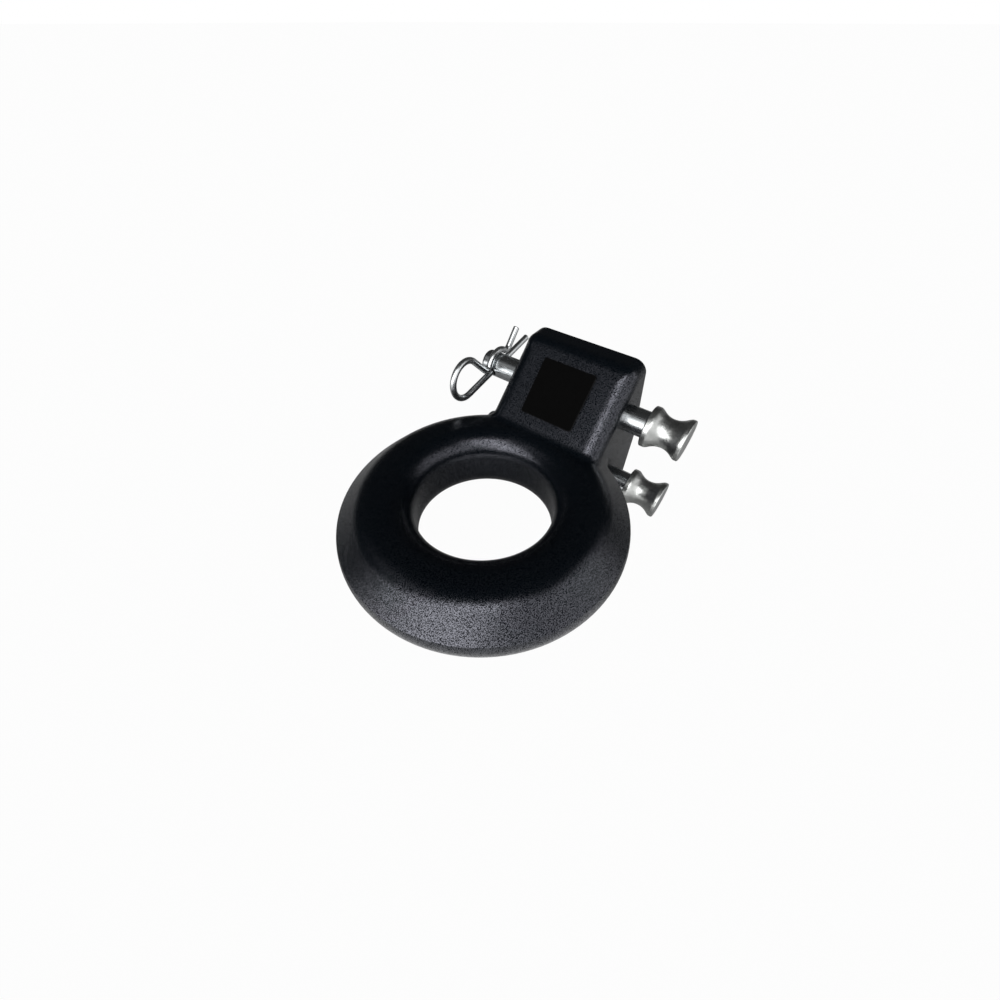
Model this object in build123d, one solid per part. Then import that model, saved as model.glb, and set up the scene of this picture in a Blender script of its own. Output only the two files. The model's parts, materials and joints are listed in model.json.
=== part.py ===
from build123d import *
import os
from math import acos, asin, atan2, cos, degrees, hypot, radians, sin, tan

# Lunette ring for a pin-mounted channel. Millimetres, +Z up.
# The origin is the centre of the eye, on the parting plane of the forging.
# +X runs along the shank block, +Y across it. The pins' knobs are on the -Y side.

# Ring
eye_radius = 38.1
lip_radius = 13.5
ring_half_height = 20.2
crest_width = 3.4
ring_radius = 80.1
band_crown = 1.1
crease_height = 5.6
slope_angle = 42.3
slope_length = 15.0
crest_reach = 7.5
shoulder_reach = 2.5

# Shank block
block_half_width = 38.0
block_half_height = 57.15
block_rear = 114.7
side_draft = 1.7
incline_angle = 45.0
incline_gap = 0.2
block_sink = 6.0
corner_radius = 7.9
rim_radius = 10.0
rear_draft = 12.0
rear_radius = 1.8
root_radius = 7.0
bore_spare = 5.0

# Pins, two, across the block
pin_radius = 7.9375
pin_fit = 0.09
pin_setback = 21.9
pin_spacing = 50.8
pin_overrun = 9.0
pin_round = 2.2
spigot_radius = 5.0
spigot_length = 15.0
spigot_press = 0.01
spigot_chamfer = 0.8

# Knobs
knob_standoff = 11.2
knob_length = 23.6
knob_radius = 12.2
knob_waist = 8.7
knob_rim_inner = 2.6
knob_rim_outer = 1.8
knob_edge = 0.8
knob_shoulder = 2.2
knob_hollow = 5.5
knob_bore_spare = 0.6

# Spring clips
wire_radius = 2.05
wire_chamfer = 0.4
clip_standoff = 22.4
clip_tilt = 10.3
clip_hole_gap = 0.8
clip_hole_shift = 0.55
clip_hug_gap = 0.3
clip_leg_gap = 0.35
leg_drop = 0.2
leg_tip = 34.0
loop_radius = 12.0
loop_place = 32.4
heel_radius = 3.5
throat_radius = 4.0
throat_level = 5.3
flare_angle = 37.5
flare_length = 13.0

# Badge plate
badge_width = 34.0
badge_height = 33.4
badge_thickness = 1.0
badge_corner = 1.5
badge_edge = 0.25
pad_thickness = 0.4
pad_inset = 1.0

# Worked out from the values above
crease_radius = ring_radius - band_crown
lip_top_radius = eye_radius + lip_radius
crest_radius = lip_top_radius + crest_width
incline_foot = lip_top_radius + incline_gap
incline_rise = block_half_height - ring_half_height
incline_run = incline_rise / tan(radians(incline_angle))
pin_x = block_rear - pin_setback
pin_height = pin_spacing / 2
knob_face = block_half_width + knob_standoff
clip_plane = block_half_width + clip_standoff
pin_end = clip_plane + pin_overrun


def point(radius, angle, center=(0, 0)):
    """Point at a distance and an angle in degrees from a centre."""
    turn = radians(angle)
    return (center[0] + radius * cos(turn), center[1] + radius * sin(turn))


def arc(center, radius, start, end):
    """Arc about a centre from one angle to another, in degrees."""
    middle = (start + end) / 2
    return ThreePointArc(
        point(radius, start, center), point(radius, middle, center), point(radius, end, center)
    )


def low(place):
    """The same place on the other side of the parting plane."""
    return (place[0], -place[1])


def ring():
    """Revolved eye: rounded lips, flat crest, shoulder, conical slope and a crowned band."""
    lip_foot = (eye_radius, ring_half_height - lip_radius)
    lip_top = (lip_top_radius, ring_half_height)
    crest = (crest_radius, ring_half_height)
    crest_pull = (crest_radius + crest_reach, ring_half_height)
    crease = (crease_radius, crease_height)
    shoulder = point(slope_length, 180 - slope_angle, crease)
    shoulder_pull = point(slope_length + shoulder_reach, 180 - slope_angle, crease)
    outline = [
        Line(low(lip_foot), lip_foot),
        RadiusArc(lip_foot, lip_top, lip_radius),
        Line(lip_top, crest),
        Bezier(crest, crest_pull, shoulder_pull, shoulder),
        Line(shoulder, crease),
        ThreePointArc(crease, (ring_radius, 0), low(crease)),
        Line(low(crease), low(shoulder)),
        Bezier(low(shoulder), low(shoulder_pull), low(crest_pull), low(crest)),
        Line(low(crest), low(lip_top)),
        RadiusArc(low(lip_top), low(lip_foot), lip_radius),
    ]
    return revolve(Plane.XZ * make_face(outline), Axis.Z)


def incline_plane(side=1):
    """Plane of the upper or lower inclined face, from its foot at the crest of the ring, facing out."""
    slope = radians(incline_angle)
    foot = (incline_foot, 0, side * ring_half_height)
    return Plane(origin=foot, x_dir=(0, -side, 0), z_dir=(-sin(slope), 0, side * cos(slope)))


def incline_cut(body, side):
    """Half of the block with its front cut to the incline and the cut's edges rounded."""
    plane = incline_plane(side)
    body = split(body, bisect_by=plane, keep=Keep.BOTTOM)
    incline = body.faces().filter_by(lambda face: face.is_coplanar(plane))[0]
    return fillet(incline.edges().sort_by(Axis.X)[1:], rim_radius)


def block_upper():
    """Upper half of the shank block, its sides and rear drafted from the parting plane."""
    front = incline_foot - block_sink
    back = block_rear + block_sink
    plan = Pos((front + back) / 2, 0) * Rectangle(back - front, 2 * block_half_width)
    body = extrude(plan, amount=block_half_height, taper=side_draft)
    top = body.faces().sort_by(Axis.Z)[-1]
    body = fillet(top.edges().filter_by(Axis.X), corner_radius)
    lean = radians(rear_draft)
    rear_plane = Plane(origin=(block_rear, 0, 0), z_dir=(cos(lean), 0, sin(lean)))
    body = incline_cut(split(body, bisect_by=rear_plane, keep=Keep.BOTTOM), 1)
    rear = body.faces().sort_by(Axis.X)[-1]
    return fillet(rear.edges().sort_by(Axis.Z)[1:], rear_radius)


def block_lower(upper):
    """Lower half of the shank block, straight down from the upper half's section."""
    section = upper.faces().sort_by(Axis.Z)[0]
    body = extrude(section, amount=block_half_height, dir=(0, 0, -1))
    end = Plane.YZ * RectangleRounded(2 * block_half_width, 2 * block_half_height, corner_radius)
    return incline_cut(body & extrude(end, amount=block_rear + block_sink), -1)


def forging_side():
    """The +Y side of the ring and shank block, blended where they meet and bored for the two pins."""
    upper = block_upper()
    eye = split(ring(), bisect_by=Plane.XZ, keep=Keep.BOTTOM)
    block = split(upper + block_lower(upper), bisect_by=Plane.XZ, keep=Keep.BOTTOM)
    body = eye + block
    body = fillet(new_edges(eye, block, combined=body), root_radius)
    for side in (1, -1):
        bore = Cylinder(pin_radius + pin_fit, 2 * (block_half_width + bore_spare))
        body -= Pos(pin_x, 0, side * pin_height) * Rot(90, 0, 0) * bore
    return body


def ring_forging():
    """Ring and shank block in one piece: one side and its mirror image, joined on the middle plane."""
    skin = forging_side().faces().filter_by(lambda face: not face.is_coplanar(Plane.XZ))
    return Solid(Shell(skin + [mirror(face, about=Plane.XZ) for face in skin]))


def pin_shank(side):
    """Pin turned down to a spigot for its knob, rounded at the free end, drilled for its clip."""
    spigot_end = -(knob_face + spigot_length)
    outline = [
        Line((0, spigot_end), (spigot_radius - spigot_chamfer, spigot_end)),
        Line((spigot_radius - spigot_chamfer, spigot_end), (spigot_radius, spigot_end + spigot_chamfer)),
        Line((spigot_radius, spigot_end + spigot_chamfer), (spigot_radius, -knob_face)),
        Line((spigot_radius, -knob_face), (pin_radius, -knob_face)),
        Line((pin_radius, -knob_face), (pin_radius, pin_end - pin_round)),
        arc((pin_radius - pin_round, pin_end - pin_round), pin_round, 0, 90),
        Line((pin_radius - pin_round, pin_end), (0, pin_end)),
        Line((0, pin_end), (0, spigot_end)),
    ]
    shank = Pos(pin_x, 0, side * pin_height) * revolve(make_face(outline), Axis.Y)
    hole = Cylinder(wire_radius + clip_hole_gap, 2 * (pin_radius + bore_spare))
    return shank - clip_frame(side) * Pos(0, 0, side * clip_hole_shift) * Rot(0, 90, 0) * hole


def pin_knob(side):
    """Waisted pull knob, pressed on the spigot."""
    face = -knob_face
    end = face - knob_length
    bore = spigot_radius - spigot_press
    bore_end = face - spigot_length - knob_bore_spare
    rim = face - knob_rim_inner
    far_rim = end + knob_rim_outer
    waist = (rim + far_rim) / 2
    outline = [
        Line((bore, face), (knob_radius - knob_edge, face)),
        arc((knob_radius - knob_edge, face - knob_edge), knob_edge, 90, 0),
        Line((knob_radius, face - knob_edge), (knob_radius, rim)),
        Bezier(
            (knob_radius, rim), (knob_radius, rim - knob_shoulder),
            (knob_waist, waist + knob_hollow), (knob_waist, waist),
        ),
        Bezier(
            (knob_waist, waist), (knob_waist, waist - knob_hollow),
            (knob_radius, far_rim + knob_shoulder), (knob_radius, far_rim),
        ),
        Line((knob_radius, far_rim), (knob_radius, end + knob_edge)),
        arc((knob_radius - knob_edge, end + knob_edge), knob_edge, 0, -90),
        Line((knob_radius - knob_edge, end), (0, end)),
        Line((0, end), (0, bore_end)),
        Line((0, bore_end), (bore, bore_end)),
        Line((bore, bore_end), (bore, face)),
    ]
    return Pos(pin_x, 0, side * pin_height) * revolve(make_face(outline), Axis.Y)


def clip_frame(side):
    """Clip's own plane: x along its straight leg to the tip, y away from the leg, z along the pin."""
    tilt = radians(clip_tilt)
    center = (pin_x, clip_plane, side * pin_height)
    return Plane(origin=center, x_dir=(cos(tilt), 0, side * sin(tilt)), z_dir=(0, -side, 0))


def clip_path():
    """Centre line of the wire, about the pin's axis: straight leg, loop, heel, hug, throat, flare."""
    hug = pin_radius + clip_hug_gap + wire_radius
    heel_level = 2 * wire_radius + clip_leg_gap + heel_radius - leg_drop
    heel_angle = 180 - degrees(asin(heel_level / (hug + heel_radius)))
    heel = point(hug + heel_radius, heel_angle)
    throat_angle = degrees(asin((throat_level + throat_radius) / (hug + throat_radius)))
    throat = point(hug + throat_radius, throat_angle)
    loop = (-loop_place, loop_radius - leg_drop)
    span = hypot(heel[0] - loop[0], heel[1] - loop[1])
    bearing = degrees(atan2(heel[1] - loop[1], heel[0] - loop[0]))
    leave = bearing + degrees(acos((loop_radius + heel_radius) / span))
    flare = point(throat_radius, flare_angle - 90, throat)
    return Wire(
        [
            Line((leg_tip, -leg_drop), (-loop_place, -leg_drop)),
            arc(loop, loop_radius, 270, leave),
            Line(point(loop_radius, leave, loop), point(heel_radius, leave + 180, heel)),
            arc(heel, heel_radius, leave + 180, heel_angle + 180),
            arc((0, 0), hug, heel_angle, throat_angle),
            arc(throat, throat_radius, throat_angle - 180, flare_angle - 90),
            Line(flare, point(flare_length, flare_angle, flare)),
        ]
    )


def pin_clip(side):
    """Spring clip of round wire, its straight leg through the pin."""
    path = clip_path()
    start = Plane(origin=path @ 0, z_dir=path % 0)
    wire = sweep(start * Circle(wire_radius), path=path)
    wire = chamfer(wire.edges().filter_by(GeomType.CIRCLE), wire_chamfer)
    return clip_frame(side) * wire


def badge_place():
    """Middle of the inclined face."""
    return incline_plane() * Pos(0, hypot(incline_run, incline_rise) / 2)


def badge_pad():
    """Bonding pad between the plate and the inclined face."""
    width = badge_width - 2 * pad_inset
    height = badge_height - 2 * pad_inset
    return badge_place() * extrude(RectangleRounded(width, height, badge_corner), amount=pad_thickness)


def badge_plate():
    """Plain nameplate, bare, on its pad."""
    outline = Pos(0, 0, pad_thickness) * RectangleRounded(badge_width, badge_height, badge_corner)
    plate = extrude(outline, amount=badge_thickness)
    plate = fillet(plate.faces().sort_by(Axis.Z)[-1].edges(), badge_edge)
    return badge_place() * plate


def main():
    os.makedirs("parts", exist_ok=True)
    export_step(ring_forging(), "parts/ring_forging.step")
    export_step(badge_pad(), "parts/badge_pad.step")
    export_step(badge_plate(), "parts/badge_plate.step")
    for name, side in (("upper", 1), ("lower", -1)):
        export_step(pin_shank(side), f"parts/{name}_pin_shank.step")
        export_step(pin_knob(side), f"parts/{name}_pin_knob.step")
        export_step(pin_clip(side), f"parts/{name}_pin_clip.step")


main()
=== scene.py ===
import bpy
import json
from math import cos, pi, radians, sin
from mathutils import Matrix, Vector

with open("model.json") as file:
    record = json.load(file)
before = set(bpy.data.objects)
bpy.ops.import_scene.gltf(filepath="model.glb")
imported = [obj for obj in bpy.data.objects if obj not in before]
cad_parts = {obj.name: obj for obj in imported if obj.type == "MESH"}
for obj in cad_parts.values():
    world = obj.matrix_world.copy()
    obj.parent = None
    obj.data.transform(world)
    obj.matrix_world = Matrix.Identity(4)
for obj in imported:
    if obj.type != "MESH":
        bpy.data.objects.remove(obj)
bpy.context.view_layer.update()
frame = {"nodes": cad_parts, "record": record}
nodes = frame["nodes"]

# Camera: turn, tilt, stand along its own axes in metres, and lens in pixels
AZIMUTH = radians(-53.236)
ELEVATION = radians(50.457)
RIGHT = Vector((cos(AZIMUTH), sin(AZIMUTH), 0))
BACK = Vector((sin(AZIMUTH) * cos(ELEVATION), -cos(AZIMUTH) * cos(ELEVATION), sin(ELEVATION)))
UP = BACK.cross(RIGHT)
STAND = (0.010314, 0.002054, 0.227213)
IMAGE_PIXELS = 1000
FOCAL_PIXELS = 404.453
SHIFT_PIXELS = (-2.996, 9.158)
SENSOR_MM = 36
NEAREST = 0.01


def aim_camera():
    """The photograph's camera: place, direction, focal length and shift."""
    camera = bpy.data.cameras.new("camera")
    camera.sensor_fit = "HORIZONTAL"
    camera.sensor_width = SENSOR_MM
    camera.lens = FOCAL_PIXELS / IMAGE_PIXELS * camera.sensor_width
    camera.shift_x = SHIFT_PIXELS[0] / IMAGE_PIXELS
    camera.shift_y = SHIFT_PIXELS[1] / IMAGE_PIXELS
    camera.clip_start = NEAREST
    eye = RIGHT * STAND[0] + UP * STAND[1] + BACK * STAND[2]
    viewer = bpy.data.objects.new("camera", camera)
    viewer.matrix_world = Matrix.Translation(eye) @ Matrix((RIGHT, UP, BACK)).transposed().to_4x4()
    bpy.context.collection.objects.link(viewer)
    bpy.context.scene.camera = viewer


aim_camera()

# Shading: plain white, and the sockets that a mix node has for numbers and for colours
WHITE = (1, 1, 1, 1)
NUMBER_INPUTS = (2, 3)
COLOR_INPUTS = (6, 7)
COLOR_OUTPUT = 2


def shader(name, **values):
    """A new material, its node tree and its surface shader, with the named sockets set."""
    material = bpy.data.materials.new(name)
    material.use_nodes = True
    tree = material.node_tree
    surface = tree.nodes["Principled BSDF"]
    for socket, value in values.items():
        surface.inputs[socket.replace("_", " ")].default_value = value
    return material, tree, surface


def add(tree, kind, **settings):
    """A new node; each setting is one of its properties or else one of its sockets."""
    node = tree.nodes.new(kind)
    for name, value in settings.items():
        if name in node.bl_rna.properties:
            setattr(node, name, value)
        else:
            node.inputs[name.replace("_", " ")].default_value = value
    return node


def place(tree):
    """The point's place on its own object, in metres."""
    return add(tree, "ShaderNodeTexCoord").outputs["Object"]


def noise(tree, texture, where=None):
    """Cloudy noise from nought to one, with as many cells to the metre as the texture's scale."""
    node = add(tree, "ShaderNodeTexNoise", **texture)
    tree.links.new(where or place(tree), node.inputs["Vector"])
    return node.outputs["Fac"]


def remap(tree, value, spans, **settings):
    """A value carried from one span, the first two numbers, to another, and held at its ends."""
    node = add(tree, "ShaderNodeMapRange", **settings)
    for name, number in zip(("From Min", "From Max", "To Min", "To Max"), spans):
        node.inputs[name].default_value = number
    tree.links.new(value, node.inputs["Value"])
    return node.outputs["Result"]


def mix(tree, value, first, second):
    """The first colour where the value is nought and the second where it is one."""
    node = add(tree, "ShaderNodeMix", data_type="RGBA")
    for socket, color in zip(COLOR_INPUTS, (first, second)):
        node.inputs[socket].default_value = (*color, 1)
    tree.links.new(value, node.inputs["Factor"])
    return node.outputs[COLOR_OUTPUT]


def calculate(tree, operation, *values):
    """One step of arithmetic on numbers and on other nodes' outputs."""
    node = add(tree, "ShaderNodeMath", operation=operation)
    for socket, value in zip(node.inputs, values):
        if isinstance(value, bpy.types.NodeSocket):
            tree.links.new(value, socket)
        else:
            socket.default_value = value
    return node.outputs[0]


def bump(tree, surface, *layers):
    """Relief from layers of height, each with its depth in metres."""
    normal = None
    for value, depth in layers:
        node = add(tree, "ShaderNodeBump", Strength=1.0, Distance=depth)
        tree.links.new(value, node.inputs["Height"])
        if normal:
            tree.links.new(normal, node.inputs["Normal"])
        normal = node.outputs["Normal"]
    tree.links.new(normal, surface.inputs["Normal"])


# Most of a noise lies within this span
MIDDLE = (0.3, 0.7)

# Powder coat: textures, their depths in metres, tints, and spans that carry the noise to shine and tint
PEBBLES = dict(Scale=2100, Detail=1, Roughness=0.5)
WAVES = dict(Scale=120, Detail=2, Roughness=0.5)
PATCHES = dict(Scale=45, Detail=3, Roughness=0.5)
PEBBLE_DEPTH = 0.00006
WAVE_DEPTH = 0.00015
SHEEN = (0.87, 0.88, 1, 1)
PIT_TINT = (0.0005, 0.0014, 0.0025)
PEBBLE_TINT = (0.0012, 0.0027, 0.0042)
PEBBLE_TONE = (0.4, 0.6, 0, 1)
PEBBLE_SHINE = (0.41, 0.59, 0.05, 1.05)
COAT_ROUGHNESS = (0.2, 0.27)


def powder_coat():
    """Black textured powder coat: glossy pebbles with dull pits between them."""
    material, tree, surface = shader("powder_coat", Specular_Tint=SHEEN)
    where = place(tree)
    pebbles = noise(tree, PEBBLES, where)
    waves = noise(tree, WAVES, where)
    patches = noise(tree, PATCHES, where)
    tint = mix(tree, remap(tree, pebbles, PEBBLE_TONE), PIT_TINT, PEBBLE_TINT)
    tree.links.new(tint, surface.inputs["Base Color"])
    tree.links.new(remap(tree, pebbles, PEBBLE_SHINE), surface.inputs["Specular IOR Level"])
    tree.links.new(remap(tree, patches, MIDDLE + COAT_ROUGHNESS), surface.inputs["Roughness"])
    bump(tree, surface, (waves, WAVE_DEPTH), (pebbles, PEBBLE_DEPTH))
    return material


# Nameplate
PLATE_SHINE = 0.08
PLATE_WEAR = dict(Scale=300, Detail=4, Roughness=0.5)
PLATE_TINTS = (0.0007, 0.0007, 0.0007), (0.0015, 0.0015, 0.0015)
PLATE_ROUGHNESS = (0.05, 0.08)


def nameplate():
    """Smooth black, with faint wear in its tint and its shine."""
    material, tree, surface = shader("nameplate", Specular_IOR_Level=PLATE_SHINE)
    wear = noise(tree, PLATE_WEAR)
    tree.links.new(mix(tree, wear, *PLATE_TINTS), surface.inputs["Base Color"])
    tree.links.new(remap(tree, wear, MIDDLE + PLATE_ROUGHNESS), surface.inputs["Roughness"])
    return material


# Bonding pad
FOAM_TINT = (0.01, 0.01, 0.01, 1)
FOAM_ROUGHNESS = 0.9
FOAM_CELLS = dict(Scale=2500, Detail=2, Roughness=0.5)
FOAM_DEPTH = 0.00005


def pad():
    """Matte black foam."""
    material, tree, surface = shader("pad", Base_Color=FOAM_TINT, Roughness=FOAM_ROUGHNESS)
    bump(tree, surface, (noise(tree, FOAM_CELLS), FOAM_DEPTH))
    return material


# Plated steel: textures, the lines' depth in metres, and the colours and finish of each plating
LINES = dict(Scale=1800, Detail=3, Roughness=0.6)
CLOUDS = dict(Scale=160, Detail=4, Roughness=0.55)
DENTS = dict(Scale=350, Detail=2, Roughness=0.5)
LINE_DEPTH = 0.000006
CLOUD_TONE = (0.35, 0.7, 0, 1)
ROUND = (1, 1, 1)
ALONG_PIN = (1, 0.08, 1)
PLATINGS = {
    "zinc": dict(bright=(0.52, 0.54, 0.55), dark=(0.42, 0.44, 0.45), roughness=(0.18, 0.3), streak=ALONG_PIN),
    "knob": dict(bright=(0.54, 0.55, 0.54), dark=(0.4, 0.41, 0.4), roughness=(0.26, 0.42), dent=0.0002),
    "wire": dict(bright=(0.7, 0.72, 0.73), dark=(0.5, 0.52, 0.53), roughness=(0.22, 0.36)),
}


def plated(name, bright, dark, roughness, streak=ROUND, dent=0):
    """Plated steel: clouded colour, dents of a depth in metres, and fine lines drawn out by the streak."""
    material, tree, surface = shader(name, Metallic=1.0)
    where = place(tree)
    stretch = add(tree, "ShaderNodeMapping", Scale=streak)
    tree.links.new(where, stretch.inputs["Vector"])
    lines = noise(tree, LINES, stretch.outputs["Vector"])
    clouds = noise(tree, CLOUDS, where)
    dents = noise(tree, DENTS, where)
    tree.links.new(mix(tree, remap(tree, clouds, CLOUD_TONE), bright, dark), surface.inputs["Base Color"])
    tree.links.new(remap(tree, lines, MIDDLE + roughness), surface.inputs["Roughness"])
    bump(tree, surface, (dents, dent), (lines, LINE_DEPTH))
    return material


def dress():
    """Each node gets the material of its slot."""
    looks = {"powder_coat": powder_coat(), "nameplate": nameplate(), "pad": pad()}
    for name, values in PLATINGS.items():
        looks[name] = plated(name, **values)
    for part in frame["record"]["subparts"]:
        for holder in nodes[part["node"]].material_slots:
            holder.material = looks[part["material_slot"]]


dress()

# Floor: height and reach in metres, colour and finish
FLOOR = -0.0572
FLOOR_REACH = 60
FLOOR_TINT = (0.4, 0.4, 0.4, 1)
FLOOR_ROUGHNESS = 0.9
FLOOR_SHINE = 0.1

# Plain white on the floor: its share for the camera, and its share for gloss and metal over a span of metres
# forward, which is a painted patch of light that only reflections see
CAMERA_SHARE = 0.97
PAINTED_PATCH_SPAN = (0.02, 0.05)
PAINTED_PATCH_SHARE = (0.05, 1)


def floor():
    """Pale sweep, white to the camera; metal and gloss see a painted patch of light, white on the camera's
    side.
    """
    mesh = bpy.data.meshes.new("floor")
    corners = [(-1, -1), (1, -1), (1, 1), (-1, 1)]
    mesh.from_pydata([(FLOOR_REACH * x, FLOOR_REACH * y, FLOOR) for x, y in corners], [], [(0, 1, 2, 3)])
    ground = bpy.data.objects.new("floor", mesh)
    bpy.context.collection.objects.link(ground)
    finish = dict(Base_Color=FLOOR_TINT, Roughness=FLOOR_ROUGHNESS, Specular_IOR_Level=FLOOR_SHINE)
    material, tree, surface = shader("floor", **finish)
    path = add(tree, "ShaderNodeLightPath")
    ahead = add(tree, "ShaderNodeVectorMath", operation="DOT_PRODUCT")
    tree.links.new(place(tree), ahead.inputs[0])
    ahead.inputs[1].default_value = (BACK.x, BACK.y, 0)
    # Painted light: white that only gloss and metal see, full on the camera's side of the floor and faint
    # behind it
    painted_patch = remap(tree, ahead.outputs["Value"], PAINTED_PATCH_SPAN + PAINTED_PATCH_SHARE)
    painted_patch_in_gloss = calculate(tree, "MULTIPLY", path.outputs["Is Glossy Ray"], painted_patch)
    share = calculate(tree, "MULTIPLY_ADD", path.outputs["Is Camera Ray"], CAMERA_SHARE, painted_patch_in_gloss)
    white = add(tree, "ShaderNodeEmission", Color=WHITE, Strength=1.0)
    blend = add(tree, "ShaderNodeMixShader")
    for output, socket in zip((share, surface.outputs[0], white.outputs[0]), blend.inputs):
        tree.links.new(output, socket)
    tree.links.new(blend.outputs[0], tree.nodes["Material Output"].inputs["Surface"])
    ground.data.materials.append(material)


floor()

# Softboxes, in degrees across and upwards; the lean is the turn for each degree of elevation
SOFTBOXES = (
    dict(middle=(168, 23), half=(29, 35), edge=(38, 14), lean=0.85, level=4.4),
    dict(middle=(268, 13), half=(44, 30), edge=(30, 14), lean=0, level=1.25),
    dict(middle=(145, 47), half=(25, 14), edge=(30, 18), lean=0, level=0.3),
)
AMBIENT = 0.04


def within(tree, angle, middle, half, edge):
    """One inside a span of angles and nought outside it, with a soft edge."""
    away = calculate(tree, "ABSOLUTE", calculate(tree, "SUBTRACT", angle, radians(middle)))
    spans = (radians(half - edge / 2), radians(half + edge / 2), 1, 0)
    return remap(tree, away, spans, interpolation_type="SMOOTHSTEP")


def surroundings():
    """Dim studio with three softboxes on the camera's side of the object; white to the camera."""
    world = bpy.data.worlds.new("world")
    bpy.context.scene.world = world
    world.use_nodes = True
    tree = world.node_tree
    back = tree.nodes["Background"]
    back.inputs["Color"].default_value = WHITE
    axes = add(tree, "ShaderNodeSeparateXYZ")
    tree.links.new(add(tree, "ShaderNodeTexCoord").outputs["Generated"], axes.inputs[0])
    x, y, z = axes.outputs
    opposite = (calculate(tree, "MULTIPLY", axis, -1) for axis in (y, x))
    azimuth = calculate(tree, "ADD", calculate(tree, "ARCTAN2", *opposite), pi)
    elevation = calculate(tree, "ARCSINE", z)
    level = AMBIENT
    for box in SOFTBOXES:
        turn = calculate(tree, "MULTIPLY_ADD", elevation, -box["lean"], azimuth)
        across, upwards = zip(box["middle"], box["half"], box["edge"])
        inside = calculate(tree, "MULTIPLY", within(tree, turn, *across), within(tree, elevation, *upwards))
        level = calculate(tree, "MULTIPLY_ADD", inside, box["level"], level)
    seen = add(tree, "ShaderNodeMix", data_type="FLOAT")
    tree.links.new(add(tree, "ShaderNodeLightPath").outputs["Is Camera Ray"], seen.inputs[0])
    lit, plain = (seen.inputs[socket] for socket in NUMBER_INPUTS)
    tree.links.new(level, lit)
    plain.default_value = 1.0
    tree.links.new(seen.outputs[0], back.inputs["Strength"])


surroundings()
bpy.context.scene.view_settings.view_transform = "Standard"
